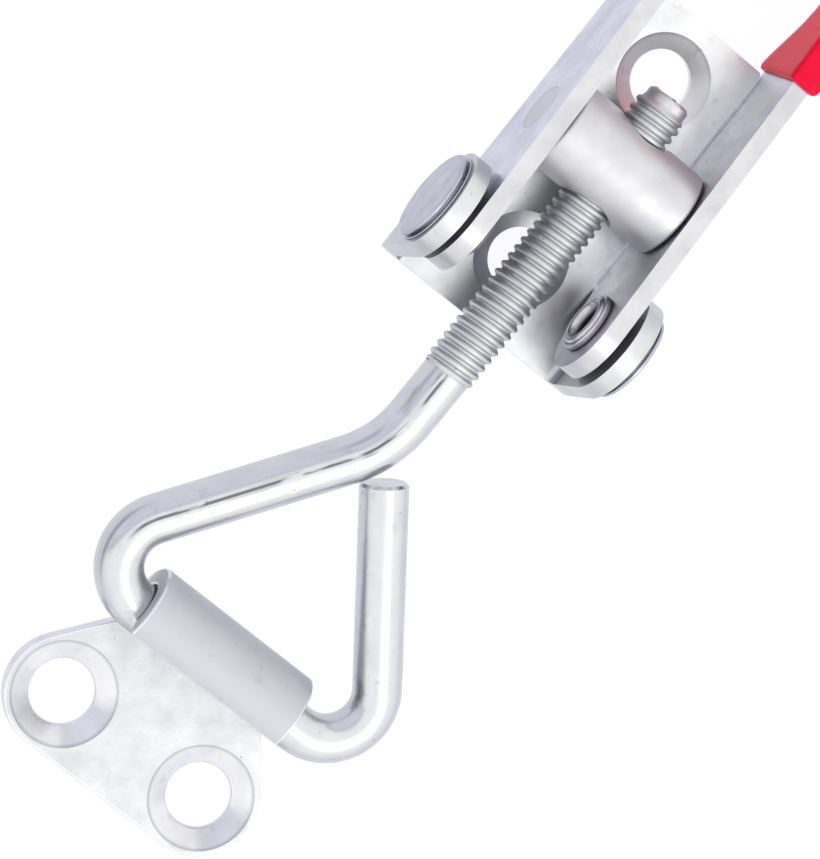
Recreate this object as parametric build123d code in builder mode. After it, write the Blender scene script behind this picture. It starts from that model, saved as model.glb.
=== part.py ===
from build123d import *
import os
from math import atan2, cos, sin, sqrt

# Over-centre toggle latch with an adjustable wire hook, drawn closed and hooked to its catch plate.
# Millimetres. The origin is on the mounting face, midway between the base plate's screw holes.
# +X runs from the lever towards the catch, +Y across the latch and +Z away from the mounting face.

# Stock
base_sheet = 2.0  # base plate and its ears
lever_sheet = 2.0  # lever arms and web
catch_sheet = 2.0  # catch plate and its curl
wire_dia = 5.2  # hook wire
thread_rise = 0.3  # rolled thread's crests above the wire
fold_radius = 1.0  # inside radius of the sheet folds

# Clearances
running_clearance = 0.05  # radial, pins and screws that turn in their holes
seat_clearance = 0.02  # radial, rivets closed up in the ears
flange_clearance = 0.1  # rivet flange to lever arm
arm_clearance = 0.2  # base plate's edges to the lever arms
shoulder_clearance = 0.2  # trunnion shoulders to the lever arms
tip_gap = 0.1  # wire's cut end to the leg it closes on
curl_end_gap = 0.15  # curl's end to where the crossbar starts to bend
grip_gap = 0.4  # base plate's rear edge to the grip

# Base plate
hole_spacing = 23.6
rear_margin = 7.2  # rear hole to rear edge
front_margin = 8.0  # front hole to front edge
base_hole_dia = 6.6
base_sink_dia = 10.3
ear_radius = 5.9
ear_foot = 11.0  # ear's width at its fold
ear_foot_radius = 1.0  # ear's rear edge where the foot meets the round
ear_gap = 0.8  # ear to lever arm
pivot_setback = 7.0  # front edge to pivot
pivot_height = 8.6
corner_radius = 0.5

# Pivot rivets
rivet_head_dia = 10.5
rivet_head = 1.2
rivet_head_edge = 0.35
rivet_seat_dia = 8.0  # head's flat seat on the ear
rivet_relief = 0.35  # head's rim off the ear
rivet_shank_dia = 5.5
rivet_flange_dia = 6.8
rivet_flange = 1.0
rivet_bore_dia = 4.0
rivet_bore_depth = 2.6
rivet_flange_edge = 0.3

# Lever
arm_spacing = 16.2  # between the arms' inner faces
arm_end_radius = 5.4
lever_reach = 75.0  # pivot to the lever's far end
lever_end_height = 2.6  # far end's lower edge above the mounting face
lever_end_depth = 5.0
lever_end_radius = 1.8
belly_setback = 9.0  # pivot to the arms' deepest point
belly_height = 1.4  # arms' deepest point above the mounting face
belly_radius = 4.0
heel_setback = 24.8  # pivot to the arms' heel, where they narrow to the channel
heel_height = 2.0
heel_radius = 3.0
channel_depth = 6.5  # top face to lower edge, above the heel
channel_fillet = 3.0  # lower edge, between heel and channel
web_setback = 50.0  # pivot to the web's front edge

# Grip
grip_wall = 0.8
grip_edge = 0.5

# Trunnion
toggle_throw = 14.0  # pivot to trunnion, along X
trunnion_dia = 10.0
trunnion_lift = 0.4  # trunnion to base plate
spigot_dia = 5.2
trunnion_edge = 0.4

# Hook bolt, measured from the trunnion's axis along the bolt
hook_length = 65.4  # trunnion's axis to the crossbar's axis
thread_front = 27.2
thread_rear = 9.1
neck_length = 37.0  # to the corner where the wire leaves the shank's line
neck_radius = 13.0
loop_left = 19.9  # shank's line to the left corner of the loop
loop_right = 22.4  # shank's line to the right corner of the loop
loop_bend_radius = 5.2

# Catch plate
curl_clearance = 0.35  # radial, crossbar in the curl
curl_lip_angle = 30.0  # lip's end, past the top of the curl
catch_spacing = 18.5
catch_setback = 11.9  # crossbar to the catch's screw holes
catch_hole_dia = 6.9
catch_sink_dia = 11.4
catch_boss_radius = 6.3
catch_neck = 2.5  # crossbar's axis to where the plate starts to widen
sink_angle = 115.0

# Places that follow from the sizes above
rear_hole_x = -hole_spacing / 2
front_hole_x = hole_spacing / 2
base_rear = rear_hole_x - rear_margin
base_front = front_hole_x + front_margin
arm_inner = arm_spacing / 2
arm_outer = arm_inner + lever_sheet
ear_inner = arm_outer + ear_gap
ear_outer = ear_inner + base_sheet
pivot_x = base_front - pivot_setback
trunnion_x = pivot_x - toggle_throw
trunnion_z = base_sheet + trunnion_lift + trunnion_dia / 2
thread_dia = wire_dia + 2 * thread_rise
left_lean = atan2(loop_left, hook_length - neck_length)
right_lean = atan2(loop_right, hook_length - neck_length)
curl_half = loop_left - loop_bend_radius * (1 + sin(left_lean)) / cos(left_lean) - curl_end_gap
curl_inner = wire_dia / 2 + curl_clearance
curl_outer = curl_inner + catch_sheet
bar_z = catch_sheet + curl_inner
bar_x = trunnion_x + sqrt(hook_length**2 - (trunnion_z - bar_z) ** 2)
catch_hole_x = bar_x + catch_setback
web_x = pivot_x - web_setback
fold_x = web_x + arm_inner
grip_x = base_rear - grip_gap
lever_end_x = pivot_x - lever_reach

# Cross axes of the pivot and the trunnion
pivot_axis = Plane(origin=(pivot_x, 0, pivot_height), x_dir=(0, 0, 1), z_dir=(0, 1, 0))
trunnion_axis = Plane(origin=(trunnion_x, 0, trunnion_z), x_dir=(0, 0, 1), z_dir=(0, 1, 0))

# The lever's top face: common tangent of the pivot end and of the far end's upper corner
upper_end = (lever_end_x + lever_end_radius, lever_end_height + lever_end_depth - lever_end_radius)
lower_end = (upper_end[0], lever_end_height + lever_end_radius)
end_run, end_drop = pivot_x - upper_end[0], pivot_height - upper_end[1]
radius_drop = arm_end_radius - lever_end_radius
top_slope = atan2(end_drop, end_run) + atan2(radius_drop, sqrt(end_run**2 + end_drop**2 - radius_drop**2))
top_normal = Vector(-sin(top_slope), 0, cos(top_slope))
top_direction = Vector(-cos(top_slope), 0, -sin(top_slope))
top_tangent = Vector(pivot_x, 0, pivot_height) + top_normal * arm_end_radius

# Where the channel starts above the arms' heel: centres of its upper and lower corners
heel_x = pivot_x - heel_setback
channel_top = top_tangent + top_direction * ((top_tangent.X - heel_x) / cos(top_slope))
channel_upper = channel_top - top_normal * lever_end_radius
channel_lower = channel_top - top_normal * (channel_depth - lever_end_radius)

# Square to the top face where the arms end and the folded web begins
fold_start = Plane(
    origin=top_tangent + top_direction * ((top_tangent.X - fold_x) / cos(top_slope)),
    x_dir=(0, -1, 0),
    z_dir=top_direction,
)

# The bolt's own plane: local X along the bolt to the crossbar, local Y across the latch
bolt_direction = Vector(bar_x - trunnion_x, 0, bar_z - trunnion_z).normalized()
bolt_plane = Plane(
    origin=(trunnion_x, 0, trunnion_z),
    x_dir=bolt_direction,
    z_dir=bolt_direction.cross(Vector(0, 1, 0)),
)


def bolt_section(distance):
    """Plane square to the bolt, a distance along it from the trunnion's axis."""
    return Plane(origin=bolt_plane.from_local_coords((distance, 0, 0)), z_dir=bolt_direction)


# Base plate: a flat tongue between the lever arms, and a wide front folded up into two ears
with BuildPart() as base_plate:
    with BuildSketch(Plane.YZ.offset(pivot_x - ear_radius)):
        with BuildLine():
            FilletPolyline(
                (-ear_outer, pivot_height + ear_radius),
                (-ear_outer, 0),
                (ear_outer, 0),
                (ear_outer, pivot_height + ear_radius),
                radius=fold_radius + base_sheet,
            )
            offset(amount=base_sheet, side=Side.LEFT, closed=True)
        make_face()
    extrude(amount=base_front - pivot_x + ear_radius)
    with BuildSketch(Plane.XZ) as ear:
        with BuildLine():
            CenterArc((pivot_x, pivot_height), ear_radius, 0, 360)
            Line((base_front, 0), (base_front, base_sheet))
        make_hull()
        with Locations((base_front - ear_foot, 0)):
            Rectangle(ear_foot, base_sheet, align=(Align.MIN, Align.MIN))
            Rectangle(ear_foot - pivot_setback, pivot_height, align=(Align.MIN, Align.MIN))
        rear_edge = ear.edges().filter_by(Axis.Y).sort_by(Axis.X)[0]
        fillet(rear_edge.vertices().sort_by(Axis.Y)[-1], ear_foot_radius)
    extrude(amount=ear_outer, both=True, mode=Mode.INTERSECT)
    with BuildSketch():
        with Locations((base_rear, 0)):
            tongue_length = base_front - ear_foot / 2 - base_rear
            tongue_width = 2 * (arm_inner - arm_clearance)
            Rectangle(tongue_length, tongue_width, align=(Align.MIN, Align.CENTER))
    extrude(amount=base_sheet)
    fillet(base_plate.edges().filter_by(Axis.Z).group_by(Axis.X)[0], corner_radius)
    with Locations((rear_hole_x, 0, base_sheet), (front_hole_x, 0, base_sheet)):
        CounterSinkHole(base_hole_dia / 2, base_sink_dia / 2, counter_sink_angle=sink_angle)
    with Locations(pivot_axis):
        Hole(rivet_shank_dia / 2 + seat_clearance)
base_plate.part.label = "base_plate"


def folded_lever(grow):
    """The lever without its holes, grown outwards on every face: rear channel and two front arms."""
    half_width, inner_half_width = arm_outer + grow, arm_inner - grow
    with BuildPart() as form:
        with BuildSketch(Plane.XZ) as outline:
            heel = (heel_x, heel_height + heel_radius)
            with BuildLine() as arms:
                CenterArc((pivot_x, pivot_height), arm_end_radius + grow, 0, 360)
                belly = (pivot_x - belly_setback, belly_height + belly_radius)
                CenterArc(belly, belly_radius + grow, 0, 360)
                CenterArc(heel, heel_radius + grow, 0, 360)
                CenterArc((channel_upper.X, channel_upper.Z), lever_end_radius + grow, 0, 360)
            make_hull(arms.edges())
            with BuildLine() as channel:
                CenterArc((channel_upper.X, channel_upper.Z), lever_end_radius + grow, 0, 360)
                CenterArc((channel_lower.X, channel_lower.Z), lever_end_radius + grow, 0, 360)
                CenterArc(lower_end, lever_end_radius + grow, 0, 360)
                CenterArc(upper_end, lever_end_radius + grow, 0, 360)
            make_hull(channel.edges())
            heel_rear = (heel_x - heel_radius - grow, heel_height + heel_radius)
            corner = outline.vertices().sort_by_distance(heel_rear)[0]
            fillet(corner, channel_fillet - grow)
        extrude(amount=half_width, both=True)
        with BuildSketch(fold_start):
            section_depth = 4 * arm_end_radius
            from_top = (Align.CENTER, Align.MAX)
            Rectangle(4 * arm_outer, 2 * section_depth)
            with Locations((0, grow)):
                outer_radius = fold_radius + lever_sheet + grow
                outside = (2 * half_width, section_depth)
                RectangleRounded(*outside, outer_radius, align=from_top, mode=Mode.SUBTRACT)
            with Locations((0, -lever_sheet - grow)):
                RectangleRounded(2 * inner_half_width, section_depth, fold_radius, align=from_top)
        extrude(amount=lever_reach, mode=Mode.SUBTRACT)
        with BuildSketch():
            with Locations((fold_x, 0)):
                Circle(inner_half_width)
                Rectangle(lever_reach, 2 * inner_half_width, align=(Align.MIN, Align.CENTER))
        extrude(amount=2 * (pivot_height + arm_end_radius), mode=Mode.SUBTRACT)
    return form.part


# Lever: two arms, joined behind the base plate by a web folded across their top edges
with BuildPart() as lever_frame:
    add(folded_lever(0))
    with Locations(pivot_axis):
        Hole(rivet_shank_dia / 2 + running_clearance)
    with Locations(trunnion_axis):
        Hole(spigot_dia / 2 + running_clearance)
lever_frame.part.label = "lever_frame"

# Grip: a soft skin over the lever behind the base plate, inside and out
with BuildPart() as grip_cover:
    add(folded_lever(grip_wall))
    with BuildSketch(Plane.YZ.offset(grip_x)):
        Rectangle(lever_reach, lever_reach)
    extrude(amount=lever_reach, mode=Mode.SUBTRACT)
    fillet(grip_cover.faces().filter_by(Axis.X).group_by(Axis.X)[-1].edges(), grip_edge)
    add(lever_frame.part, mode=Mode.SUBTRACT)
grip_cover.part.label = "grip_cover"

# Pivot rivets: flat head outside the ear, hollow end rolled over inside the lever arm
with BuildPart() as right_rivet:
    with BuildSketch(Plane(origin=pivot_axis.origin, x_dir=(0, 1, 0), z_dir=(1, 0, 0))) as profile:
        flange_end = arm_inner - flange_clearance
        hollow_end = flange_end - rivet_flange
        head_end = ear_outer + rivet_head
        with BuildLine():
            Polyline(
                (hollow_end, rivet_bore_dia / 2),
                (hollow_end, rivet_flange_dia / 2),
                (flange_end, rivet_flange_dia / 2),
                (flange_end, rivet_shank_dia / 2),
                (ear_outer, rivet_shank_dia / 2),
                (ear_outer, rivet_seat_dia / 2),
                (ear_outer + rivet_relief, rivet_head_dia / 2),
                (head_end, rivet_head_dia / 2),
                (head_end, 0),
                (hollow_end + rivet_bore_depth, 0),
                (hollow_end + rivet_bore_depth, rivet_bore_dia / 2),
                close=True,
            )
        make_face()
        rims = profile.vertices().group_by(Axis.Y)
        chamfer(rims[-1].sort_by(Axis.X)[-1], rivet_head_edge)
        chamfer(rims[-3], rivet_flange_edge)
    revolve(axis=Axis(pivot_axis.origin, (0, 1, 0)))
right_rivet.part.label = "right_rivet"

with BuildPart() as left_rivet:
    mirror(right_rivet.part, about=Plane.XZ)
left_rivet.part.label = "left_rivet"

# Trunnion: a cross pin with reduced ends, and the tapped hole that the bolt screws through
with BuildPart() as trunnion:
    with BuildSketch(trunnion_axis):
        Circle(trunnion_dia / 2)
    extrude(amount=arm_inner - shoulder_clearance, both=True)
    chamfer(trunnion.edges().filter_by(GeomType.CIRCLE), trunnion_edge)
    with BuildSketch(trunnion_axis):
        Circle(spigot_dia / 2)
    extrude(amount=arm_outer, both=True)
    with Locations(bolt_section(0)):
        Hole(thread_dia / 2 + running_clearance)
trunnion.part.label = "trunnion"

# Hook bolt: one wire, straight and threaded at the lever, bent into a closed loop at the catch
with BuildPart() as hook_bolt:
    wire_radius = wire_dia / 2
    legs_angle = left_lean + right_lean
    tip_distance = (wire_radius * (1 + cos(legs_angle)) + tip_gap) / sin(legs_angle)
    with BuildLine(bolt_plane):
        FilletPolyline(
            (0, 0),
            (neck_length, 0),
            (hook_length, -loop_left),
            (hook_length, loop_right),
            (neck_length + tip_distance * cos(right_lean), tip_distance * sin(right_lean)),
            radius=(neck_radius, loop_bend_radius, loop_bend_radius),
        )
    with BuildSketch(bolt_section(0)):
        Circle(wire_radius)
    sweep()
    with BuildSketch(bolt_section(-thread_rear)):
        Circle(thread_dia / 2)
    screw = extrude(amount=thread_rear + thread_front, mode=Mode.PRIVATE)
    add(screw.chamfer(thread_rise, None, screw.edges().filter_by(GeomType.CIRCLE)))
hook_bolt.part.label = "hook_bolt"

# Catch plate: flat plate with two screw holes, its narrow end curled over the hook's crossbar
with BuildPart() as catch_plate:
    with BuildSketch():
        with BuildLine():
            CenterArc((catch_hole_x, -catch_spacing / 2), catch_boss_radius, 0, 360)
            CenterArc((catch_hole_x, catch_spacing / 2), catch_boss_radius, 0, 360)
            Line((bar_x + catch_neck, -curl_half), (bar_x + catch_neck, curl_half))
        make_hull()
        with Locations((bar_x, 0)):
            Rectangle(catch_neck, 2 * curl_half, align=(Align.MIN, Align.CENTER))
    extrude(amount=catch_sheet)
    with BuildSketch(Plane.XZ):
        with BuildLine():
            middle_radius = (curl_inner + curl_outer) / 2
            CenterArc((bar_x, bar_z), middle_radius, 270, -180 - curl_lip_angle)
        trace(line_width=catch_sheet)
    extrude(amount=curl_half, both=True)
    with Locations((catch_hole_x, 0, catch_sheet)):
        with GridLocations(0, catch_spacing, 1, 2):
            CounterSinkHole(catch_hole_dia / 2, catch_sink_dia / 2, counter_sink_angle=sink_angle)
catch_plate.part.label = "catch_plate"

os.makedirs("parts", exist_ok=True)
export_step(base_plate.part, "parts/base_plate.step")
export_step(lever_frame.part, "parts/lever_frame.step")
export_step(grip_cover.part, "parts/grip_cover.step")
export_step(left_rivet.part, "parts/left_rivet.step")
export_step(right_rivet.part, "parts/right_rivet.step")
export_step(trunnion.part, "parts/trunnion.step")
export_step(hook_bolt.part, "parts/hook_bolt.step")
export_step(catch_plate.part, "parts/catch_plate.step")
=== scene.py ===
"""Looks of an over-centre toggle latch: zinc-plated sheet, wire and rivets, and a dipped red grip."""

import logging
import math
from dataclasses import dataclass
from enum import Enum
from typing import Callable

import bpy
from mathutils import Matrix, Vector

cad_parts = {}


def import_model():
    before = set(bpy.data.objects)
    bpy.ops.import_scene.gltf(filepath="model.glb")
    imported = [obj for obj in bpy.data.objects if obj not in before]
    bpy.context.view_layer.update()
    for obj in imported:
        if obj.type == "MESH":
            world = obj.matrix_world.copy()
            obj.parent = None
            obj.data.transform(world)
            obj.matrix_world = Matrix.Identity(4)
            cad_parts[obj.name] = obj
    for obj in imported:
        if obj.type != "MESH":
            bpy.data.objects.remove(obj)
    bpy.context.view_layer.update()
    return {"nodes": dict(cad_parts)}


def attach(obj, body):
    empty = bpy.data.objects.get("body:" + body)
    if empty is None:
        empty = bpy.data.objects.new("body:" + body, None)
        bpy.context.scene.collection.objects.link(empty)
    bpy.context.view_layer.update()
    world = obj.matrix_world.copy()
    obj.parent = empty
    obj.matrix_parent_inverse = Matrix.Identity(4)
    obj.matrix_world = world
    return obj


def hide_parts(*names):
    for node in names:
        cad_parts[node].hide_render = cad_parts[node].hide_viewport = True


Solid = bpy.types.Object
Socket = bpy.types.NodeSocket
Triple = tuple[float, float, float]

# A millimetre in metres, and how near in millimetres two places count as one.
MM = 0.001
NEAR = 0.01
log = logging.getLogger("latch")


class Axis(Enum):
    """Directions that pieces are turned or drawn along."""

    X = (1.0, 0.0, 0.0)
    Y = (0.0, 1.0, 0.0)
    Z = (0.0, 0.0, 1.0)


class Bench:
    """Blender's modelling tools, used as by hand on one object at a time."""

    SHARP = math.radians(35.0)

    @staticmethod
    def clear() -> None:
        """Leaves edit mode and deselects everything."""
        if bpy.context.mode != "OBJECT":
            bpy.ops.object.mode_set(mode="OBJECT")
        bpy.ops.object.select_all(action="DESELECT")

    @classmethod
    def hold(cls, piece: Solid) -> None:
        """Makes one object the only selected one, and the active one.

        Args:
            piece: The object to work on.
        """
        cls.clear()
        piece.select_set(True)
        bpy.context.view_layer.objects.active = piece

    @classmethod
    def edit(cls, piece: Solid, mode: str = "VERT", pick: str = "SELECT") -> None:
        """Opens an object in edit mode.

        Args:
            piece: The object to open.
            mode: What is selected there: VERT, EDGE or FACE.
            pick: SELECT for all of it, or DESELECT for nothing.
        """
        cls.hold(piece)
        bpy.ops.object.mode_set(mode="EDIT")
        bpy.ops.mesh.select_mode(type=mode)
        bpy.ops.mesh.select_all(action=pick)

    @classmethod
    def line(cls, points: list[Triple]) -> Solid:
        """Draws an open line by extruding a single point.

        Args:
            points: The corners, in millimetres.

        Returns:
            The line, as a mesh object at the origin.
        """
        cls.clear()
        bpy.ops.mesh.primitive_plane_add(size=MM, location=(0, 0, 0))
        piece = bpy.context.active_object
        cls.edit(piece)
        bpy.ops.mesh.merge(type="CENTER")
        bpy.ops.mesh.select_all(action="SELECT")
        bpy.ops.transform.translate(value=Vector(points[0]) * MM)
        for before, after in zip(points, points[1:]):
            step = (Vector(after) - Vector(before)) * MM
            bpy.ops.mesh.extrude_vertices_move(TRANSFORM_OT_translate={"value": step})
        cls.clear()
        return piece

    @classmethod
    def turn(cls, piece: Solid, centre: Vector, axis: Axis, steps: int) -> None:
        """Turns a drawn line into a closed round body.

        Args:
            piece: The line.
            centre: A point on the axis, in metres.
            axis: The axis it is turned about.
            steps: Segments round the axis.
        """
        cls.edit(piece)
        bpy.ops.mesh.spin(steps=steps, angle=math.tau, center=centre, axis=axis.value)
        cls.weld(piece, 0.002)

    @classmethod
    def weld(cls, piece: Solid, gap: float) -> None:
        """Joins a body's doubled corners and turns its faces outwards.

        Args:
            piece: The body.
            gap: How far apart doubled corners may be, in millimetres.
        """
        cls.edit(piece)
        bpy.ops.mesh.remove_doubles(threshold=gap * MM)
        bpy.ops.mesh.normals_make_consistent(inside=False)
        cls.clear()

    @classmethod
    def copy_node(cls, node: Solid) -> Solid:
        """Copies a frame node, its loose triangles joined into whole faces.

        Args:
            node: The frame's node, which stays as it is.

        Returns:
            The copy, at the origin.
        """
        cls.clear()
        piece = bpy.data.objects.new("working_copy", node.data.copy())
        bpy.context.scene.collection.objects.link(piece)
        piece.data.materials.clear()
        cls.edit(piece)
        bpy.ops.mesh.remove_doubles(threshold=0.001 * MM)
        bpy.ops.mesh.select_all(action="SELECT")
        bpy.ops.mesh.dissolve_limited(angle_limit=math.radians(0.6))
        cls.clear()
        if piece.data.has_custom_normals:
            bpy.context.view_layer.objects.active = piece
            bpy.ops.mesh.customdata_custom_splitnormals_clear()
        return piece

    @classmethod
    def apply(cls, piece: Solid, kind: str, **settings: object) -> None:
        """Adds a modifier with these settings and applies it.

        Args:
            piece: The object.
            kind: The modifier's type.
            **settings: Values of the modifier's own properties.
        """
        cls.hold(piece)
        modifier = piece.modifiers.new(kind.title(), kind)
        for key, value in settings.items():
            setattr(modifier, key, value)
        bpy.ops.object.modifier_apply(modifier=modifier.name)

    @classmethod
    def round_edges(cls, piece: Solid, width: float, spare: Callable[[Vector], bool]) -> None:
        """Rounds the sharp edges and marks the rounded faces for the edge finish, which is wear and, on the
        catch, a painted highlight.

        Args:
            piece: The object.
            width: Width of the rounding, in millimetres.
            spare: Test of an edge's middle, in millimetres: true where the edge stays sharp.
        """
        cls.edit(piece, "EDGE", "DESELECT")
        bpy.ops.mesh.edges_select_sharp(sharpness=cls.SHARP)
        bpy.ops.object.mode_set(mode="OBJECT")
        corners = piece.data.vertices
        for edge in piece.data.edges:
            middle = (corners[edge.vertices[0]].co + corners[edge.vertices[1]].co) / (2 * MM)
            edge.select = edge.select and not spare(middle)
        for _ in range(2):
            piece.data.materials.append(None)
        bpy.ops.object.mode_set(mode="EDIT")
        bpy.ops.mesh.bevel(
            offset=width * MM, segments=3, affect="EDGES", clamp_overlap=True, miter_outer="ARC", material=1
        )
        cls.clear()
        edge_wear_and_highlight = piece.data.attributes.new("edge_wear_and_highlight", "FLOAT", "FACE")
        for face in piece.data.polygons:
            edge_wear_and_highlight.data[face.index].value = float(face.material_index)
            face.material_index = 0
        piece.data.materials.clear()

    @classmethod
    def slice(cls, piece: Solid, places: list[float]) -> None:
        """Cuts new edges across an object without parting it.

        Args:
            piece: The object.
            places: Where the cuts are along X, in millimetres.
        """
        for place in places:
            cls.edit(piece)
            bpy.ops.mesh.bisect(plane_co=(place * MM, 0, 0), plane_no=(1, 0, 0))
        cls.clear()

    @classmethod
    def smooth(cls, piece: Solid, angle: float = 32.0) -> None:
        """Shades an object smooth, with creases above an angle.

        Args:
            piece: The object.
            angle: The crease angle, in degrees.
        """
        cls.hold(piece)
        bpy.ops.object.shade_smooth_by_angle(angle=math.radians(angle), keep_sharp_edges=False)
        cls.clear()

    @classmethod
    def place(cls, piece: Solid, matrix: Matrix) -> None:
        """Moves an object's mesh, leaving its object at the origin.

        Args:
            piece: The object.
            matrix: From where the mesh is to where it goes.
        """
        cls.hold(piece)
        piece.matrix_world = matrix
        bpy.ops.object.transform_apply(location=True, rotation=True, scale=True)
        cls.clear()


class Nodes:
    """A node tree, of a finish or of the studio's light."""

    def __init__(self, tree: bpy.types.NodeTree) -> None:
        """Takes up a tree."""
        self.tree = tree

    def set(self, socket: Socket, value: object) -> None:
        """Sets a socket to a value, or links it to another socket.

        Args:
            socket: The input.
            value: A plain value or an output socket.
        """
        if isinstance(value, Socket):
            self.tree.links.new(value, socket)
        else:
            socket.default_value = value

    def feed(self, node: bpy.types.Node, **inputs: object) -> None:
        """Sets or links inputs of a node, by their names with underscores for spaces."""
        for key, value in inputs.items():
            self.set(node.inputs[key.replace("_", " ")], value)

    def node(self, kind: str, **inputs: object) -> bpy.types.Node:
        """Adds a node and feeds it.

        Args:
            kind: The node's type name, after "ShaderNode".
            **inputs: Values or output sockets, as feed takes them.

        Returns:
            The node.
        """
        made = self.tree.nodes.new("ShaderNode" + kind)
        self.feed(made, **inputs)
        return made

    def worked(self, operation: str, first: Socket, second: object, kind: str = "Math") -> Socket:
        """Works out one number from two values.

        Args:
            operation: What is done, such as MULTIPLY.
            first: A value.
            second: A value.
            kind: Math for numbers, or VectorMath for places.

        Returns:
            The number.
        """
        made = self.node(kind)
        made.operation = operation
        self.set(made.inputs[0], first)
        self.set(made.inputs[1], second)
        return made.outputs["Value"]

    def times(self, first: Socket, second: Socket) -> Socket:
        """The product of two values."""
        return self.worked("MULTIPLY", first, second)

    def spread(
        self,
        value: Socket,
        low: float,
        high: float,
        start: float = 0.3,
        end: float = 0.7,
        ease: str = "LINEAR",
    ) -> Socket:
        """Maps a value to a range.

        Args:
            value: The value, such as a noise.
            low: Result at start.
            high: Result at end.
            start: Value that gives low.
            end: Value that gives high.
            ease: LINEAR, or SMOOTHSTEP for soft ends.

        Returns:
            The mapped value.
        """
        ramp = self.node("MapRange", Value=value, From_Min=start, From_Max=end, To_Min=low, To_Max=high)
        ramp.interpolation_type = ease
        return ramp.outputs[0]

    def mixed(self, factor: Socket, first: Socket | Triple, second: Socket | Triple) -> Socket:
        """Mixes two colours.

        Args:
            factor: 0 for the first colour, 1 for the second.
            first: A colour.
            second: A colour.

        Returns:
            The mixed colour.
        """
        mix = self.node("Mix")
        mix.data_type = "RGBA"
        self.set(mix.inputs[0], factor)
        for socket, colour in ((mix.inputs[6], first), (mix.inputs[7], second)):
            self.set(socket, (*colour, 1.0) if isinstance(colour, tuple) else colour)
        return mix.outputs[2]


class Shader(Nodes):
    """A node material in an object's own coordinates."""

    def __init__(self, name: str) -> None:
        """Starts a material.

        Args:
            name: The material's name.
        """
        self.material = bpy.data.materials.new(name)
        self.material.use_nodes = True
        super().__init__(self.material.node_tree)
        self.place = self.node("TexCoord").outputs["Object"]

    def surface(self, **inputs: object) -> None:
        """Sets or links inputs of the material's surface."""
        self.feed(self.tree.nodes["Principled BSDF"], **inputs)

    def stretched(self, scale: Triple, place: Socket | None = None) -> Socket:
        """Coordinates, the object's own where none are given, stretched by factors along their axes."""
        return self.node("Mapping", Vector=place or self.place, Scale=scale).outputs["Vector"]

    def attribute(self, name: str, output: str) -> Socket:
        """A value that the piece's mesh carries.

        Args:
            name: The attribute's name.
            output: Fac for a number, Vector for coordinates.

        Returns:
            The value.
        """
        made = self.node("Attribute")
        made.attribute_name = name
        return made.outputs[output]

    def noise(
        self, size: float, detail: float = 3.0, rough: float = 0.55, place: Socket | None = None
    ) -> Socket:
        """Cloudy noise, about 0.5 in the middle.

        Args:
            size: Size of the clouds, in millimetres.
            detail: Octaves of finer clouds.
            rough: Strength of the finer clouds.
            place: Coordinates, or the object's own where none are given.

        Returns:
            The noise value.
        """
        place = place or self.place
        made = self.node("TexNoise", Vector=place, Scale=1.0 / (size * MM), Detail=detail, Roughness=rough)
        return made.outputs["Fac"]

    def spots(self, size: float, share: float, above: float = 0.62) -> Socket:
        """Small scattered pits.

        Args:
            size: Spacing of the cells that may hold a pit, in millimetres.
            share: Radius of a pit as a share of its cell.
            above: How large a cell's own random number has to be for a pit.

        Returns:
            0 on the surface and 1 in a pit.
        """
        cells = self.node("TexVoronoi", Vector=self.place, Scale=1.0 / (size * MM), Randomness=1.0)
        pit = self.spread(cells.outputs["Distance"], 1.0, 0.0, share * 0.5, share)
        return self.times(pit, self.worked("GREATER_THAN", cells.outputs["Color"], above))

    def bump(self, height: Socket, depth: float, strength: float, below: Socket | None = None) -> Socket:
        """Bumps the surface.

        Args:
            height: Height between 0 and 1.
            depth: Height of a full step, in millimetres.
            strength: How strongly it shows.
            below: A bump that this one is laid over.

        Returns:
            The bumped normal.
        """
        bump = self.node("Bump", Height=height, Distance=depth * MM, Strength=strength)
        if below is not None:
            self.set(bump.inputs["Normal"], below)
        return bump.outputs["Normal"]


@dataclass(frozen=True)
class Plating:
    """One look of the plating: its colour where clean and where cloudy, and how matt it is there."""

    pale: Triple
    shade: Triple
    gloss: float
    dull: float


@dataclass(frozen=True)
class Zone:
    """A stretch of a piece whose plating looks different, such as a cut or a worked surface, or a stretch
    with painted light or shade.
    """

    axis: Axis
    start: float
    plating: Plating
    blend: float = 0.4


@dataclass(frozen=True)
class PaintedReflectionLine:
    """A painted dark reflection line along a drawn wire, with drawing scratches beside it: its side of the
    wire and how much of it shows.
    """

    left: float
    up: float
    width: float = 0.3
    hidden: float = 0.42
    ends: tuple[float, float] = (20.0, 65.0)
    fade: float = 2.0
    depth: float = 0.97


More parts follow.
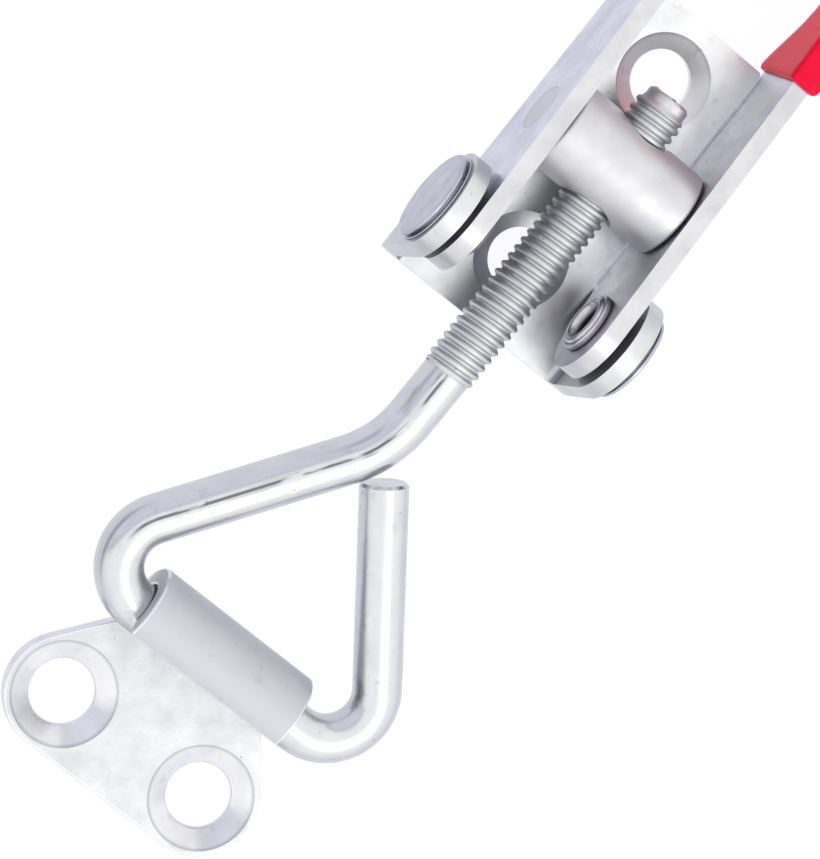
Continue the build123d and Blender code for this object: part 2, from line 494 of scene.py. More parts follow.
@dataclass(frozen=True)
class ZincPlate:
    """Bright zinc plating: pale, softly mirroring, with cloudy patches, fine marks and a few pits; zones,
    edges and lines along a wire may also carry painted light, shade and reflections.
    """

    name: str
    plating: Plating
    zones: tuple[Zone, ...] = ()
    cloud: float = 3.2
    grain: Triple = (1.0, 1.0, 1.0)
    grain_size: float = 0.35
    grain_depth: float = 0.012
    pits: float = 0.07
    pit_cell: float = 1.7
    smudges: float = 2.2
    waves: float = 1.9
    edge_wear_and_highlight: Plating | None = None
    painted_reflection_lines: tuple[PaintedReflectionLine, ...] = ()
    smudge: Triple = (0.38, 0.38, 0.40)
    speck: Triple = (0.34, 0.33, 0.35)
    # Colour of the painted dark reflection lines and of the drawing scratches beside them.
    reflection_and_scratch: Triple = (0.13, 0.13, 0.15)

    def material(self) -> bpy.types.Material:
        """Builds the plating's node material.

        Returns:
            The material.
        """
        shader = Shader(self.name)
        clouds = shader.noise(self.cloud, detail=4.0, rough=0.6)
        fine = shader.noise(self.grain_size, detail=2.0, place=shader.stretched(self.grain))
        pits = shader.spots(self.pit_cell, self.pits)
        smudges = shader.noise(self.smudges, detail=5.0, rough=0.65)
        tone, rough = self.look(shader, clouds, self.plating)
        place = shader.node("SeparateXYZ", Vector=shader.place)
        for zone in self.zones:
            there, there_rough = self.look(shader, clouds, zone.plating)
            past = place.outputs[zone.axis.name]
            past = shader.spread(past, 0.0, 1.0, zone.start * MM, (zone.start + zone.blend) * MM)
            tone, rough = shader.mixed(past, tone, there), shader.mixed(past, rough, there_rough)
        tone = shader.mixed(shader.spread(smudges, 0.0, 0.55, 0.60, 0.74), tone, self.smudge)
        tone = shader.mixed(shader.spread(pits, 0.0, 0.5, 0.0, 1.0), tone, self.speck)
        # Rounded faces get the edge finish: wear, and where it is pale, a painted highlight.
        if self.edge_wear_and_highlight is not None:
            edge = shader.attribute("edge_wear_and_highlight", "Fac")
            there, there_rough = self.look(shader, clouds, self.edge_wear_and_highlight)
            tone, rough = shader.mixed(edge, tone, there), shader.mixed(edge, rough, there_rough)
        # Painted dark reflection lines along a wire, with drawing scratches beside them.
        for reflection_line in self.painted_reflection_lines:
            tone = shader.mixed(self.reflection_line_and_scratches(shader, reflection_line), tone, self.reflection_and_scratch)
        waves = shader.bump(shader.noise(self.waves, detail=2.0), 0.05, 0.35)
        marks = shader.bump(fine, self.grain_depth, 0.5, waves)
        uneven = shader.bump(pits, -0.04, 0.8, marks)
        shader.surface(Base_Color=tone, Metallic=1.0, Roughness=rough, Normal=uneven)
        return shader.material

    @staticmethod
    def look(shader: Shader, clouds: Socket, plating: Plating) -> tuple[Socket, Socket]:
        """One look's colour and roughness, as they follow the cloudy noise."""
        tone = shader.mixed(shader.spread(clouds, 0.0, 1.0, 0.35, 0.68), plating.pale, plating.shade)
        return tone, shader.spread(clouds, plating.gloss, plating.dull)

    @staticmethod
    def reflection_line_and_scratches(shader: Shader, reflection_line: PaintedReflectionLine) -> Socket:
        """Where a painted dark reflection line and the drawing scratches beside it show.

        Args:
            shader: The material.
            reflection_line: The crease.

        Returns:
            1 on a line and 0 beside it.
        """
        straight = shader.attribute("drawn", "Vector")
        middle = (0.0, reflection_line.left * MM, reflection_line.up * MM)
        away = shader.worked("DISTANCE", shader.stretched((0.0, 1.0, 1.0), straight), middle, "VectorMath")
        line = shader.spread(away, reflection_line.depth, 0.0, reflection_line.width * 0.25 * MM, reflection_line.width * 0.65 * MM)
        near = shader.spread(away, 0.6, 0.0, reflection_line.width * MM, reflection_line.width * 4.0 * MM)
        broken = shader.noise(1.6, detail=3.0, place=shader.stretched((0.25, 1.0, 1.0), straight))
        streaks = shader.noise(0.4, detail=3.0, place=shader.stretched((0.06, 1.0, 1.0), straight))
        along = shader.node("SeparateXYZ", Vector=straight).outputs["X"]
        first, last = reflection_line.ends
        begun = shader.spread(along, 0.0, 1.0, first * MM, (first + reflection_line.fade) * MM)
        within = shader.times(begun, shader.spread(along, 1.0, 0.0, (last - reflection_line.fade) * MM, last * MM))
        line, near = shader.times(line, within), shader.times(near, within)
        shown = shader.times(line, shader.spread(broken, 0.0, 1.0, reflection_line.hidden, reflection_line.hidden + 0.1))
        scratches = shader.times(near, shader.spread(streaks, 0.0, 0.8, 0.58, 0.66))
        return shader.worked("MAXIMUM", shown, scratches)


@dataclass(frozen=True)
class DippedVinyl:
    """Thick glossy vinyl with a faint orange-peel surface."""

    name: str
    colour: Triple = (0.71, 0.005, 0.032)
    tint: Triple = (0.9, 0.72, 1.0)
    cloud: float = 5.0
    cloud_shade: float = 0.82
    peel: float = 1.6

    def material(self) -> bpy.types.Material:
        """Builds the vinyl's node material.

        Returns:
            The material.
        """
        shader = Shader(self.name)
        clouds = shader.noise(self.cloud, detail=2.0)
        deeper = tuple(part * self.cloud_shade for part in self.colour)
        shader.surface(
            Base_Color=shader.mixed(clouds, self.colour, deeper),
            Roughness=shader.spread(clouds, 0.16, 0.26),
            Specular_IOR_Level=0.08,
            Specular_Tint=(*self.tint, 1.0),
            Normal=shader.bump(shader.noise(self.peel, detail=1.5), 0.05, 0.25),
        )
        return shader.material


@dataclass
class Part:
    """One piece of the latch and what it stands for."""

    name: str
    node: str
    body: str
    slot: str

    def hand_over(self, piece: Solid, material: bpy.types.Material) -> None:
        """Dresses a finished piece and fixes it to its body.

        Args:
            piece: The finished object.
            material: Its finish.
        """
        piece.name = self.name
        piece.data.name = self.name
        piece.data.materials.clear()
        piece.data.materials.append(material)
        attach(piece, self.body)
        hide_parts(self.node)
        log.info("%s: %d faces, rides on %s", piece.name, len(piece.data.polygons), self.body)


@dataclass
class Heel:
    """Where the arms narrow to the channel: inside the grip's front, so that they are deep up to it."""

    belly: tuple[float, float] = (8.6, 1.3)
    front: float = 9.6
    heel: tuple[float, float] = (-19.2, 1.2)
    narrow: float = 9.0
    channel_below: float = 4.71
    channel_from: float = -19.4
    slope: float = 0.0875
    half_way: float = 8.5
    belly_top: float = 4.4
    hole_clear: float = -5.0
    grip_cut: float = -19.9
    steps: int = 12

    def lower_edge(self, x: float) -> float:
        """Height of the arms' lower edge.

        Args:
            x: Place along the latch, in millimetres.

        Returns:
            The height there, in millimetres.
        """
        share = (x - self.belly[0]) / (self.heel[0] - self.belly[0])
        deep = self.belly[1] + share * (self.heel[1] - self.belly[1])
        past = min(1.0, max(0.0, (self.heel[0] - x) / self.narrow))
        rise = past * past * (3 - 2 * past)
        return deep + rise * (self.channel(x) - deep)

    def channel(self, x: float) -> float:
        """Height of the narrow channel's lower edge at a place along the latch, in millimetres."""
        return self.channel_below + self.slope * (x - self.channel_from)

    def cuts(self, front: float) -> list[float]:
        """Where the heel's curve needs edges across: at the front, and from there to the channel."""
        step = self.narrow / self.steps
        return [front] + [self.heel[0] - step * count for count in range(1, self.steps + 1)]

    def deepen_arms(self, lever: Solid) -> None:
        """Carries the arms' full depth back to the heel.

        Args:
            lever: The lever's sheet.
        """
        Bench.slice(lever, [self.front, self.belly[0], *self.cuts(self.heel[0])])
        rear = self.heel[0] - self.narrow
        for corner in lever.data.vertices:
            x, z = corner.co.x / MM, corner.co.z / MM
            in_belly = x < self.belly[0] + NEAR and z < self.belly_top
            behind_hole = x < self.hole_clear and z < self.half_way
            if x > rear - NEAR and (in_belly or behind_hole):
                corner.co.z = self.lower_edge(x) * MM

    def deepen_grip(self, grip: Solid) -> None:
        """Carries the grip's front end down over the heel.

        Args:
            grip: The grip's skin.
        """
        Bench.slice(grip, self.cuts(self.grip_cut))
        for corner in grip.data.vertices:
            x, z = corner.co.x / MM, corner.co.z / MM
            if z < self.half_way and x > self.heel[0] - self.narrow:
                corner.co.z -= (self.channel(x) - self.lower_edge(x)) * MM


@dataclass
class Pressings:
    """The three sheet-metal pieces, with the rounded edges that blanking leaves."""

    nodes: dict[str, Solid]
    heel: Heel
    edge: float = 0.22
    ear_roll: float = 0.38
    ear_rim: float = 12.89
    fold_top: float = 3.01
    pivot: tuple[float, float] = (12.8, 8.6)
    pivot_hole: float = 3.5
    spigot: tuple[float, float] = (-1.2, 7.4)
    spigot_hole: float = 2.75

    def build(self) -> None:
        """Builds and dresses the base plate, the lever and the catch plate."""
        for body, node, form, finish in (
            ("base", "base_plate", self.roll_ears, self.base_finish()),
            ("lever", "lever_frame", self.heel.deepen_arms, self.lever_finish()),
            ("catch", "catch_plate", None, self.catch_finish()),
        ):
            piece = Bench.copy_node(self.nodes[node])
            if form is not None:
                form(piece)
            self.round_off(piece)
            if body == "lever":
                self.mark_cut_edges(piece)
            Part(f"latch_{body}", node, body, "plated_sheet").hand_over(piece, finish.material())

    @staticmethod
    def base_finish() -> ZincPlate:
        """The base plate's plating: cut countersinks, duller ears, a darker front, and a flat with painted
        light in the middle, where the arms and trunnion shade it, and painted shade at the rear, where the
        overhead light falls full on it.

        Returns:
            The finish.
        """
        # Painted shade: the flat's rear is darker, where the overhead light falls full on it.
        rear = Plating((0.67, 0.68, 0.68), (0.60, 0.61, 0.62), 0.26, 0.4)
        # Painted light: the flat's middle is paler, where the arms and trunnion shade it.
        middle = Plating((0.79, 0.80, 0.80), (0.69, 0.70, 0.71), 0.26, 0.4)
        # The flat is darker towards the front.
        front = Plating((0.58, 0.585, 0.60), (0.51, 0.515, 0.53), 0.28, 0.42)
        ears = Plating((0.56, 0.57, 0.57), (0.48, 0.49, 0.50), 0.34, 0.48)
        sinks = Plating((0.80, 0.81, 0.81), (0.72, 0.73, 0.73), 0.36, 0.46)
        edge_wear_and_highlight = Plating((0.56, 0.56, 0.58), (0.50, 0.50, 0.53), 0.2, 0.3)
        zones = (
            Zone(Axis.Z, 1.75, rear, 0.2),
            Zone(Axis.X, -12.0, middle, 8.0),
            Zone(Axis.X, 8.0, front, 3.0),
            Zone(Axis.Z, 2.3, ears, 1.2),
        )
        return ZincPlate("zinc_base", sinks, zones, cloud=4.0, edge_wear_and_highlight=edge_wear_and_highlight)

    @staticmethod
    def lever_finish() -> ZincPlate:
        """The lever's plating: bluer on the faces, whose grain runs along the arms, than on cut edges.

        Returns:
            The finish.
        """
        faces = Plating((0.60, 0.605, 0.66), (0.52, 0.525, 0.585), 0.26, 0.4)
        cut = Plating((0.56, 0.56, 0.57), (0.47, 0.47, 0.49), 0.24, 0.38)
        return ZincPlate("zinc_lever", faces, grain=(0.12, 1.0, 1.0), edge_wear_and_highlight=cut)

    @staticmethod
    def catch_finish() -> ZincPlate:
        """The catch plate's plating: cut countersinks, a bright flat, a curl left satin by the press, and
        pale rounded edges that are wear and a painted highlight.

        Returns:
            The finish.
        """
        flat = Plating((0.445, 0.45, 0.46), (0.41, 0.415, 0.425), 0.26, 0.38)
        curl = Plating((0.465, 0.48, 0.51), (0.54, 0.55, 0.57), 0.56, 0.72)
        sinks = Plating((0.66, 0.66, 0.68), (0.59, 0.59, 0.62), 0.26, 0.36)
        # Rounded edges painted pale: wear, and a painted highlight along the lip and the rims.
        edge_wear_and_highlight = Plating((0.70, 0.70, 0.72), (0.62, 0.62, 0.65), 0.2, 0.3)
        zones = (Zone(Axis.Z, 1.75, flat, 0.2), Zone(Axis.Z, 2.3, curl, 0.9))
        return ZincPlate("zinc_catch", sinks, zones, cloud=3.0, edge_wear_and_highlight=edge_wear_and_highlight)

    def round_off(self, piece: Solid) -> None:
        """Rounds a pressing's edges, apart from the holes that the trunnion's ends fill, and shades it.

        Args:
            piece: The pressing.
        """
        Bench.round_edges(piece, self.edge, self.at_spigot)
        Bench.smooth(piece)
        Bench.apply(piece, "WEIGHTED_NORMAL", keep_sharp=True)

    @staticmethod
    def mark_cut_edges(piece: Solid) -> None:
        """Marks the arms' cut edges as well as their roundings.

        Args:
            piece: The lever's sheet.
        """
        edge_wear_and_highlight = piece.data.attributes["edge_wear_and_highlight"]
        for face in piece.data.polygons:
            if abs(face.normal.y) < 0.5:
                edge_wear_and_highlight.data[face.index].value = 1.0

    def at_spigot(self, place: Vector) -> bool:
        """Whether a place, in millimetres, is on the rim of a spigot's hole."""
        return math.hypot(place.x - self.spigot[0], place.z - self.spigot[1]) < self.spigot_hole

    def roll_ears(self, piece: Solid) -> None:
        """Rolls over the ears' outer rims, where the punch went in.

        Args:
            piece: The base plate's sheet.
        """
        Bench.edit(piece, "EDGE", "DESELECT")
        bpy.ops.object.mode_set(mode="OBJECT")
        corners = piece.data.vertices
        for edge in piece.data.edges:
            edge.select = all(self.on_ear(corners[index].co / MM) for index in edge.vertices)
        bpy.ops.object.mode_set(mode="EDIT")
        bpy.ops.mesh.bevel(offset=self.ear_roll * MM, segments=4, affect="EDGES", clamp_overlap=True)
        Bench.clear()

    def on_ear(self, place: Vector) -> bool:
        """Whether a place, in millimetres, is on an ear's outer rim, above the fold."""
        away = math.hypot(place.x - self.pivot[0], place.z - self.pivot[1])
        return away > self.pivot_hole and abs(place.y) > self.ear_rim and place.z > self.fold_top


@dataclass
class Rivets:
    """The two pivot rivets: flat heads outside the ears, hollow ends rolled over inside the arms."""

    axis_x: float = 12.8
    axis_z: float = 8.6
    head_out: float = 13.9
    head_in: float = 12.93
    head_radius: float = 5.05
    head_edge: float = 0.26
    collar_radius: float = 5.2
    collar_out: float = 13.12
    groove_out: float = 13.48
    groove_radius: float = 4.2
    shank_radius: float = 2.75
    flange_out: float = 8.0
    flange_in: float = 7.35
    flange_radius: float = 3.4
    roll_in: float = 7.0
    roll_radius: float = 2.95
    mouth_radius: float = 2.2
    bore_radius: float = 1.95
    bore_end: float = 12.4
    # How far in from the bore's ends the painted shade starts, in millimetres.
    bore_shade_from: float = 0.12
    ring: int = 96

    def profile(self) -> list[Triple]:
        """The rivet's half section, from the bore's floor round to the head's centre.

        Returns:
            Points in millimetres.
        """
        crest = (self.mouth_radius + self.roll_radius) / 2
        width = (self.roll_radius - self.mouth_radius) / 2
        roll = [
            (self.flange_in - (self.flange_in - self.roll_in) * math.sin(a), crest - width * math.cos(a))
            for a in (math.pi * step / 12 for step in range(13))
        ]
        section = [
            (self.bore_end, 0.0),
            (self.bore_end - 0.8, self.bore_radius * 0.8),
            (self.bore_end - 1.4, self.bore_radius * 0.98),
            (self.flange_in + 0.9, self.bore_radius),
            (self.flange_in + 0.4, self.bore_radius + 0.08),
            *roll,
            (self.flange_in + 0.14, self.roll_radius + 0.05),
            (self.flange_in, self.roll_radius + 0.12),
            *self.rim(self.flange_in, self.flange_radius, 0.16, -1.0),
            (self.flange_out, self.flange_radius),
            (self.flange_out, self.shank_radius),
            (self.head_in, self.shank_radius),
            (self.head_in, self.collar_radius - 0.2),
            *self.rim(self.head_in, self.collar_radius, 0.06, -1.0),
            *self.rim(self.collar_out, self.collar_radius, 0.1, 1.0),
            (self.collar_out, self.groove_radius),
            (self.groove_out, self.groove_radius),
            (self.groove_out, self.head_radius - 0.2),
            *self.rim(self.groove_out, self.head_radius, 0.08, -1.0),
            *self.rim(self.head_out, self.head_radius, self.head_edge, 1.0),
            (self.head_out + 0.04, self.head_radius * 0.5),
            (self.head_out + 0.05, 0.0),
        ]
        return [(self.axis_x, y, self.axis_z + r) for y, r in section]

    @staticmethod
    def rim(face: float, radius: float, edge: float, away: float) -> list[tuple[float, float]]:
        """A rounded corner between a face and a rim.

        Args:
            face: Place of the face along the axis.
            radius: Radius of the rim.
            edge: Radius of the corner.
            away: The face's side: 1 outward along the axis, -1 inward.

        Returns:
            Points along and out from the axis, in the profile's order.
        """
        angles = [math.pi / 2 * step / 7 for step in range(8)]
        if away < 0:
            angles.reverse()
        return [(face - away * edge * (1 - math.sin(a)), radius - edge * (1 - math.cos(a))) for a in angles]

    def finish(self, side: str) -> ZincPlate:
        """A rivet's plating, with dark, faintly red painted shade inside the bore.

        Args:
            side: "right" or "left".

        Returns:
            The finish.
        """
        head = Plating((0.46, 0.455, 0.505), (0.38, 0.375, 0.43), 0.22, 0.34)
        flange = Plating((0.52, 0.515, 0.56), (0.44, 0.435, 0.49), 0.22, 0.34)
        # Painted shade in the hollow bore, dark and faintly red.
        painted_bore_shade = Plating((0.10, 0.075, 0.09), (0.07, 0.05, 0.065), 0.3, 0.42)
        reach, deep = self.flange_in + self.bore_shade_from, self.head_in - self.bore_shade_from
        if side == "right":
            zones = (Zone(Axis.Y, reach, painted_bore_shade, 0.6), Zone(Axis.Y, deep, head, 0.1))
            return ZincPlate("zinc_rivet_right", flange, zones, cloud=2.4)
        zones = (Zone(Axis.Y, -deep, painted_bore_shade, 0.1), Zone(Axis.Y, -reach, flange, 0.6))
        return ZincPlate("zinc_rivet_left", head, zones, cloud=2.4)

    def build(self) -> None:
        """Builds and dresses both rivets."""
        for side, body in (("right", 1.0), ("left", -1.0)):
            material = self.finish(side).material()
            piece = Bench.line([(x, y * body, z) for x, y, z in self.profile()])
            Bench.turn(piece, Vector((self.axis_x, 0.0, self.axis_z)) * MM, Axis.Y, self.ring)
            Bench.smooth(piece)
            Part(f"latch_rivet_{side}", f"{side}_rivet", "base", "plated_rivet").hand_over(piece, material)


@dataclass
class BoltLine:
    """The bolt's own directions: along it from the trunnion, across the latch, and off its plane."""

    origin: Triple = (-1.2, 0.0, 7.4)
    drop: float = 2.45
    reach: float = 65.4

    def matrix(self) -> Matrix:
        """The placing from the bolt's directions to the latch's, in metres."""
        tilt = math.asin(self.drop / self.reach)
        return Matrix.Translation(Vector(self.origin) * MM) @ Matrix.Rotation(tilt, 4, "Y")


@dataclass
class Trunnion:
    """The cross pin with reduced ends and a cross hole that the bolt screws through."""

    line: BoltLine
    radius: float = 5.0
    half_length: float = 7.9
    edge: float = 0.4
    spigot_radius: float = 2.62
    spigot_end: float = 10.09
    hole_radius: float = 2.95
    mouth_start: float = 4.15
    cutter_radius: float = 4.0
    cutter_past: float = 0.6
    ring: int = 128
    hole_ring: int = 96

    def build(self) -> None:
        """Builds and dresses the trunnion."""
        x, _, z = self.line.origin
        section = [
            (-self.spigot_end, 0.0),
            (-self.spigot_end, self.spigot_radius),
            (-self.half_length, self.spigot_radius),
            *self.shoulder(-1.0),
            *self.shoulder(1.0)[::-1],
            (self.half_length, self.spigot_radius),
            (self.spigot_end, self.spigot_radius),
            (self.spigot_end, 0.0),
        ]
        piece = Bench.line([(x, y, z + r) for y, r in section])
        Bench.turn(piece, Vector((x, 0.0, z)) * MM, Axis.Y, self.ring)
        reach = self.radius + self.cutter_past
        bore = [
            (-reach, 0.0, 0.0),
            (-reach, 0.0, self.cutter_radius),
            (-self.mouth_start, 0.0, self.hole_radius),
            (self.mouth_start, 0.0, self.hole_radius),
            (reach, 0.0, self.cutter_radius),
            (reach, 0.0, 0.0),
        ]
        cutter = Bench.line(bore)
        Bench.turn(cutter, Vector((0, 0, 0)), Axis.X, self.hole_ring)
        Bench.place(cutter, self.line.matrix())
        Bench.apply(piece, "BOOLEAN", operation="DIFFERENCE", solver="EXACT", object=cutter)
        bpy.data.objects.remove(cutter)
        Bench.smooth(piece, 28.0)
        turned = Plating((0.56, 0.56, 0.57), (0.52, 0.52, 0.54), 0.44, 0.54)
        finish = ZincPlate("zinc_trunnion", turned, grain=(1.0, 0.1, 1.0))
        Part("latch_trunnion", "trunnion", "trunnion", "plated_turned").hand_over(piece, finish.material())

    def shoulder(self, side: float) -> list[tuple[float, float]]:
        """The rounded corner of one end of the body.

        Args:
            side: 1 for the end at +Y, -1 for the other.

        Returns:
            Points along and out from the axis, from the end's face to the body.
        """
        angles = [math.pi / 2 * step / 5 for step in range(6)]
        middle = self.half_length - self.edge
        return [
            (side * (middle + self.edge * math.cos(a)), self.radius - self.edge * (1 - math.sin(a)))
            for a in angles
        ]


@dataclass
class HookBolt:
    """One wire: a rolled thread at the lever, then a neck and a closed loop."""

    line: BoltLine
    wire_radius: float = 2.6
    crest_radius: float = 2.9
    root_radius: float = 2.49
    pitch: float = 1.04
    thread_rear: float = 9.1
    thread_front: float = 27.2
    neck: float = 37.0
    neck_bend: float = 13.0
    loop_left: float = 19.9
    loop_right: float = 22.4
    loop_bend: float = 5.2
    tip_gap: float = 0.1
    ring: int = 40
    plain_end: float = 1.1
    plain_radius: float = 2.42
    plain_slope: float = 0.7
    point_radius: float = 2.15
    point_slope: float = 0.9
    front_slope: float = 0.5
    lap: float = 0.6
    neck_steps: int = 14
    loop_steps: int = 26
    cut_edge: float = 0.3

    def build(self) -> None:
        """Builds and dresses the threaded end and the bent wire, as one piece."""
        thread, piece = self.thread(), self.wire()
        Bench.hold(piece)
        thread.select_set(True)
        bpy.ops.object.join()
        Bench.place(piece, self.line.matrix())
        Bench.smooth(piece, 40.0)
        rolled = Plating((0.56, 0.565, 0.57), (0.49, 0.495, 0.51), 0.42, 0.54)
        drawn = Plating((0.57, 0.575, 0.585), (0.525, 0.53, 0.55), 0.22, 0.32)
        zones = (Zone(Axis.X, self.line.origin[0] + self.thread_front, drawn),)
        # Painted dark reflection lines where the board's dark edge would mirror in the wire, with drawing
        # scratches beside them.
        painted_reflection_lines = (
            PaintedReflectionLine(-0.6, 2.53, 0.36, 0.43),
            PaintedReflectionLine(-1.8, 1.88, 0.5, 0.42, (20.0, 46.0), 7.0, 0.34),
            PaintedReflectionLine(-2.1, 1.53, 0.5, 0.3, (61.0, 69.5), 3.0, 0.55),
        )
        finish = ZincPlate("zinc_wire", rolled, zones, cloud=2.6, pits=0.12, painted_reflection_lines=painted_reflection_lines)
        Part("latch_hook", "hook_bolt", "hook", "plated_wire").hand_over(piece, finish.material())

    def thread(self) -> Solid:
        """Screws one turn's section along the bolt and dresses both ends.

        Returns:
            The threaded length, closed at both ends.
        """
        root, crest = self.root_radius, self.crest_radius
        flank = [(0.0, root), (0.09, root + 0.02), (0.28, crest - 0.10), (0.37, crest - 0.02)]
        section = [*flank, (0.5, crest), *((1.0 - x, r) for x, r in reversed(flank))]
        start = -self.thread_rear - 2 * self.pitch
        piece = Bench.line([(start + x * self.pitch, 0.0, r) for x, r in section])
        turns = math.ceil((self.thread_rear + self.thread_front) / self.pitch) + 4
        screw = dict(axis="X", angle=math.tau, screw_offset=self.pitch * MM, iterations=turns)
        merge = dict(use_merge_vertices=True, merge_threshold=0.003 * MM)
        Bench.apply(piece, "SCREW", steps=self.ring, render_steps=self.ring, **screw, **merge)
        for place, outward in ((-self.thread_rear, -1.0), (self.thread_front, 1.0)):
            Bench.edit(piece)
            bpy.ops.mesh.bisect(
                plane_co=(place * MM, 0, 0), plane_no=(outward, 0, 0), clear_outer=True, use_fill=True
            )
        Bench.weld(piece, 0.004)
        for vertex in piece.data.vertices:
            rear = vertex.co.x / MM + self.thread_rear
            front = self.thread_front - vertex.co.x / MM
            point = self.point_radius + rear * self.point_slope
            plain = self.plain_radius + max(0.0, rear - self.plain_end) * self.plain_slope
            limit = min(point, plain, self.wire_radius + 0.02 + front * self.front_slope) * MM
            out = math.hypot(vertex.co.y, vertex.co.z)
            if out > limit:
                vertex.co.y *= limit / out
                vertex.co.z *= limit / out
        return piece

    def wire(self) -> Solid:
        """Feeds and bends a wire in the loop's plane, from the thread to its cut end.

        Returns:
            The bent wire, closed at both ends.
        """
        rise = self.line.reach - self.neck
        left = math.atan2(self.loop_left, rise)
        right = math.atan2(self.loop_right, rise)
        left_leg, right_leg = math.hypot(self.loop_left, rise), math.hypot(self.loop_right, rise)
        neck_take = self.neck_bend * math.tan(left / 2)
        left_take = self.loop_bend / math.tan((math.pi / 2 - left) / 2)
        right_take = self.loop_bend / math.tan((math.pi / 2 - right) / 2)
        apart = left + right
        tip = (self.wire_radius * (1 + math.cos(apart)) + self.tip_gap) / math.sin(apart)
        bender = WireBender(self.thread_front - self.lap, self.wire_radius, self.ring)
        bender.feed(self.neck - neck_take - self.thread_front + self.lap)
        bender.bend(self.neck_bend, -left, self.neck_steps)
        bender.feed(left_leg - neck_take - left_take)
        bender.bend(self.loop_bend, math.pi / 2 + left, self.loop_steps)
        bender.feed(self.loop_left + self.loop_right - left_take - right_take)
        bender.bend(self.loop_bend, math.pi / 2 + right, self.loop_steps)
        bender.feed(right_leg - right_take - tip - self.cut_edge)
        bender.face_off(self.cut_edge)
        return bender.piece


class WireBender:
    """Draws a round wire by feeding it straight and bending it in its plane."""

    def __init__(self, start: float, radius: float, ring: int) -> None:
        """Starts the wire with a closed disc facing along X.

        Args:
            start: Where the wire starts along X, in millimetres.
            radius: The wire's radius.
            ring: Points round the wire.
        """
        Bench.clear()
        bpy.ops.mesh.primitive_circle_add(
            vertices=ring,
            radius=radius * MM,
            fill_type="NGON",
            location=(start * MM, 0, 0),
            rotation=(0, math.pi / 2, 0),
        )
        self.piece = bpy.context.active_object
        self.radius = radius
        Bench.hold(self.piece)
        bpy.ops.object.transform_apply(location=True, rotation=True, scale=True)
        self.at = Vector((start, 0.0, 0.0))
        self.heading = 0.0
        self.turns = [(self.at, self.heading, start)]
        bpy.ops.object.mode_set(mode="EDIT")
        bpy.ops.mesh.select_mode(type="FACE")
        bpy.ops.mesh.select_all(action="SELECT")

    @staticmethod
    def left_of(heading: float) -> Vector:
        """The direction to the left of a heading, in the wire's plane."""
        return Vector((-math.sin(heading), math.cos(heading), 0.0))

    def feed(self, length: float) -> None:
        """Adds a straight length.

        Args:
            length: The length, in millimetres.
        """
        step = Vector((math.cos(self.heading), math.sin(self.heading), 0.0)) * length
        bpy.ops.mesh.extrude_region_move(TRANSFORM_OT_translate={"value": step * MM})
        self.at = self.at + step
        self.turns.append((self.at, self.heading, self.turns[-1][2] + length))

    def bend(self, radius: float, angle: float, steps: int) -> None:
        """Adds a bend.

        Args:
            radius: Radius of the wire's centre line.
            angle: Turn to the left, in radians.
            steps: Faces along the bend.
        """
        centre = self.at + self.left_of(self.heading) * math.copysign(1.0, angle) * radius
        turn = Matrix.Rotation(angle / steps, 3, "Z")
        for _ in range(steps):
            after = centre + turn @ (self.at - centre)
            bpy.ops.mesh.extrude_region_move(TRANSFORM_OT_translate={"value": (after - self.at) * MM})
            bpy.ops.transform.rotate(
                value=-angle / steps, orient_axis="Z", orient_type="GLOBAL", center_override=after * MM
            )
            self.at = after
            self.heading += angle / steps
            self.turns.append((self.at, self.heading, self.turns[-1][2] + radius * abs(angle) / steps))

    def face_off(self, edge: float) -> None:
        """Ends the wire with a slightly broken edge.

        Args:
            edge: Width of the broken edge, in millimetres.
        """
        share = (self.radius - edge) / self.radius
        self.feed(edge)
        bpy.ops.transform.resize(value=(share, share, share), center_override=self.at * MM)
        bpy.ops.mesh.select_all(action="SELECT")
        bpy.ops.mesh.normals_make_consistent(inside=False)
        Bench.clear()
        self.mark_drawing()

    def mark_drawing(self) -> None:
        """Notes on each corner where it was while the wire was still straight."""
        drawn = self.piece.data.attributes.new("drawn", "FLOAT_VECTOR", "POINT")
        for corner in self.piece.data.vertices:
            place = corner.co / MM
            centre, heading, along = min(self.turns, key=lambda turn: (turn[0] - place).length_squared)
            out = place - centre
            left = out.dot(self.left_of(heading))
            drawn.data[corner.index].vector = Vector((along, left, out.z)) * MM


@dataclass
class Grip:
    """The dipped skin over the lever's rear, thick and rounded as dipping leaves it."""

    nodes: dict[str, Solid]
    heel: Heel
    grain: float = 0.3
    flow: int = 10

    def build(self) -> None:
        """Builds and dresses the grip."""
        piece = Bench.copy_node(self.nodes["grip_cover"])
        self.heel.deepen_grip(piece)
        Bench.apply(piece, "REMESH", mode="VOXEL", voxel_size=self.grain * MM)
        Bench.apply(piece, "SMOOTH", factor=0.5, iterations=self.flow)
        Bench.hold(piece)
        bpy.ops.object.shade_smooth()
        finish = DippedVinyl("red_vinyl")
        Part("latch_grip", "grip_cover", "lever", "dipped_grip").hand_over(piece, finish.material())


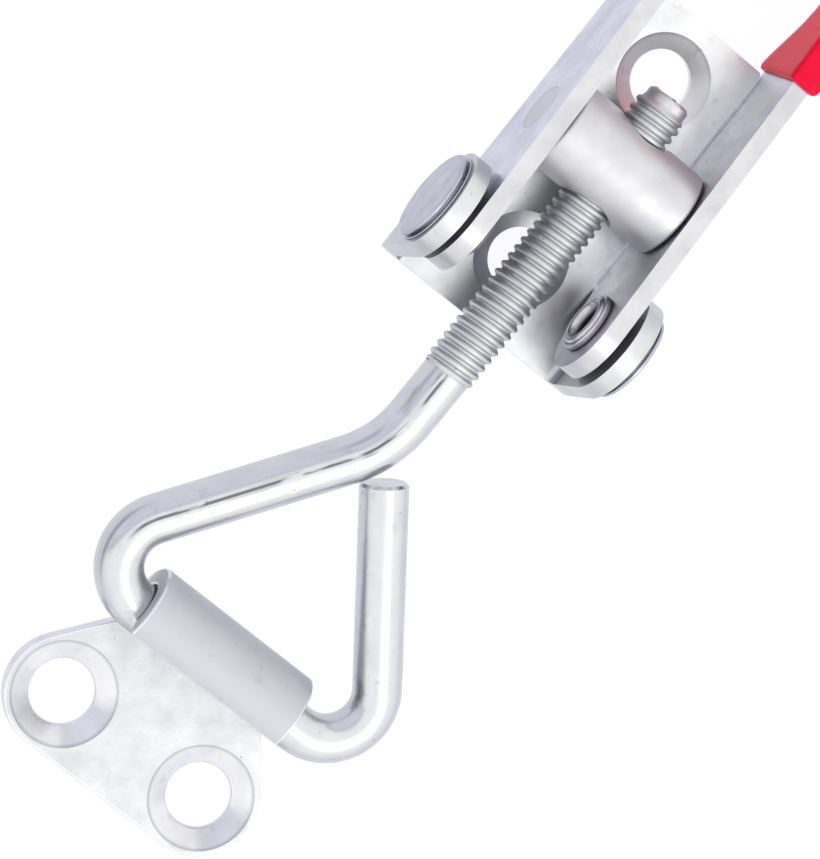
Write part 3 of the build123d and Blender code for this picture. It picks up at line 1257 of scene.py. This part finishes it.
@dataclass
class Studio:
    """A pale floor, soft lights and a camera."""

    camera_at: Triple = (39.15, -144.25, 478.24)
    camera_turn: Triple = (-10.2823, -13.7258, 129.9405)
    lens: float = 201.95
    floor_drop: float = 0.15
    table_tint: Triple = (0.12, 0.12, 0.12)
    table_glow: Triple = (0.92, 0.91, 1.0)
    overhead: Triple = (1.47, 1.47, 1.47)
    around: Triple = (1.3, 1.3, 1.33)
    board: Triple = (1.05, 1.04, 1.19)
    board_edge: Triple = (0.42, 0.42, 0.46)
    board_side: Triple = (-0.35, -0.93, 0.12)
    board_reach: float = 0.68
    board_rim: float = 0.07
    board_blur: float = 0.03
    tent_top: float = 0.6
    box_at: Triple = (0.25, 0.45, 0.75)
    box_side: float = 0.5
    box_power: float = 1.2

    def build(self) -> None:
        """Sets up the floor, lights, world and camera."""
        self.floor()
        self.lights()
        self.camera()

    def floor(self) -> None:
        """Lays a large, plain light table just under the mounting face."""
        Bench.clear()
        bpy.ops.mesh.primitive_plane_add(size=6.0, location=(0, 0, -self.floor_drop * MM))
        sheet = bpy.context.active_object
        sheet.name = "floor"
        shader = Shader("pale_floor")
        shader.surface(
            Base_Color=(*self.table_tint, 1.0),
            Roughness=0.9,
            Specular_IOR_Level=0.0,
            Emission_Color=(*self.table_glow, 1.0),
            Emission_Strength=1.0,
        )
        sheet.data.materials.append(shader.material)

    def lights(self) -> None:
        """Hangs one soft box in a white tent, with a lavender board with a dark edge at one side."""
        self.soft_box()
        world = bpy.data.worlds.new("studio")
        bpy.context.scene.world = world
        world.use_nodes = True
        tent = Nodes(world.node_tree)
        place = tent.node("TexCoord").outputs["Generated"]
        height = tent.node("SeparateXYZ", Vector=place).outputs["Z"]
        side = tent.worked("DOT_PRODUCT", place, Vector(self.board_side).normalized(), "VectorMath")
        light, reach, blur = self.around, self.board_reach, self.board_blur
        for value, start, end, colour in (
            (height, 0.0, self.tent_top, self.overhead),
            (side, reach - self.board_rim, reach - blur, self.board_edge),
            (side, reach, reach + blur, self.board),
        ):
            light = tent.mixed(tent.spread(value, 0.0, 1.0, start, end, "SMOOTHSTEP"), light, colour)
        tent.feed(tent.tree.nodes["Background"], Color=light)
        bpy.context.scene.view_settings.view_transform = "Standard"

    def soft_box(self) -> None:
        """Hangs a square soft box that faces the latch."""
        light = bpy.data.lights.new("key", "AREA")
        light.shape = "SQUARE"
        light.size = self.box_side
        light.energy = self.box_power
        lamp = bpy.data.objects.new("key", light)
        lamp.location = self.box_at
        lamp.rotation_euler = (-Vector(self.box_at)).to_track_quat("-Z", "Y").to_euler()
        bpy.context.scene.collection.objects.link(lamp)

    def camera(self) -> None:
        """Places the camera above the latch, a little to its left."""
        lens = bpy.data.cameras.new("camera")
        lens.lens = self.lens
        lens.sensor_width = 36.0
        lens.clip_start = 0.01
        camera = bpy.data.objects.new("camera", lens)
        camera.location = Vector(self.camera_at) * MM
        camera.rotation_euler = [math.radians(angle) for angle in self.camera_turn]
        bpy.context.scene.collection.objects.link(camera)
        bpy.context.scene.camera = camera


def main() -> None:
    """Builds the latch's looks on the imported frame."""
    logging.basicConfig(level=logging.INFO, format="%(name)s %(message)s")
    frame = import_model()
    line = BoltLine()
    heel = Heel()
    Pressings(frame["nodes"], heel).build()
    Rivets().build()
    Trunnion(line).build()
    HookBolt(line).build()
    Grip(frame["nodes"], heel).build()
    Studio().build()


if __name__ == "__main__":
    main()
